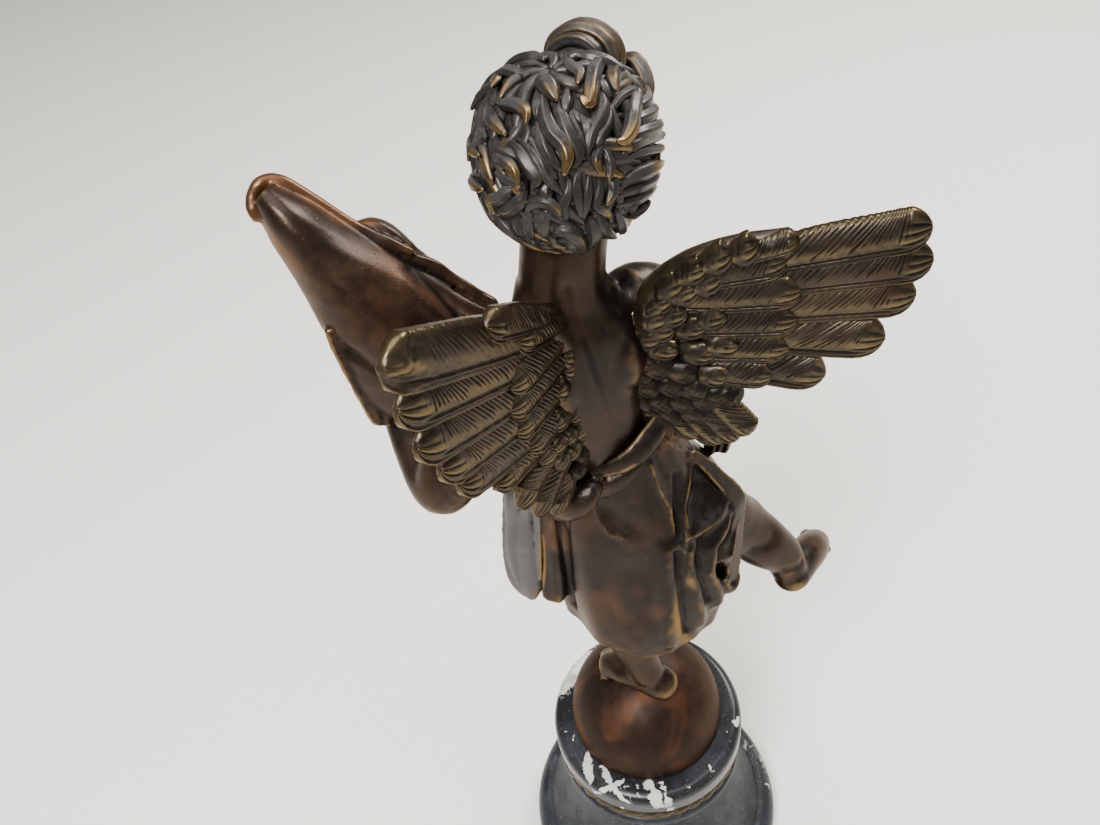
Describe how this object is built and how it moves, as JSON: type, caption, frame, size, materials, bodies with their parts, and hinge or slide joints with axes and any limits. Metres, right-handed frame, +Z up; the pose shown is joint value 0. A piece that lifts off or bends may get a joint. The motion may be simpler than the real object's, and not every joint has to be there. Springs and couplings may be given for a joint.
{
  "type": "bronze cherub statue",
  "caption": "Cast bronze winged cherub with blown drapery, striding on a ball, on a veined marble disc, rope ring and turned dark marble plinth.",
  "frame": {"origin": "centre of the plinth's flat underside", "axes": "+Z up along the plinth's axis, +Y ahead of the cherub, +X to the cherub's right"},
  "size_m": [0.17, 0.1224, 0.3785],
  "materials": {
    "patinated_bronze": "satin",
    "rope_bronze": "satin",
    "veined_marble": "polished",
    "dark_marble": "polished"
  },
  "bodies": {
    "root": {"cherub_casting": "patinated_bronze", "upper_marble_disc": "veined_marble", "rope_ring": "rope_bronze", "marble_plinth": "dark_marble"}
  },
  "joints": []
}
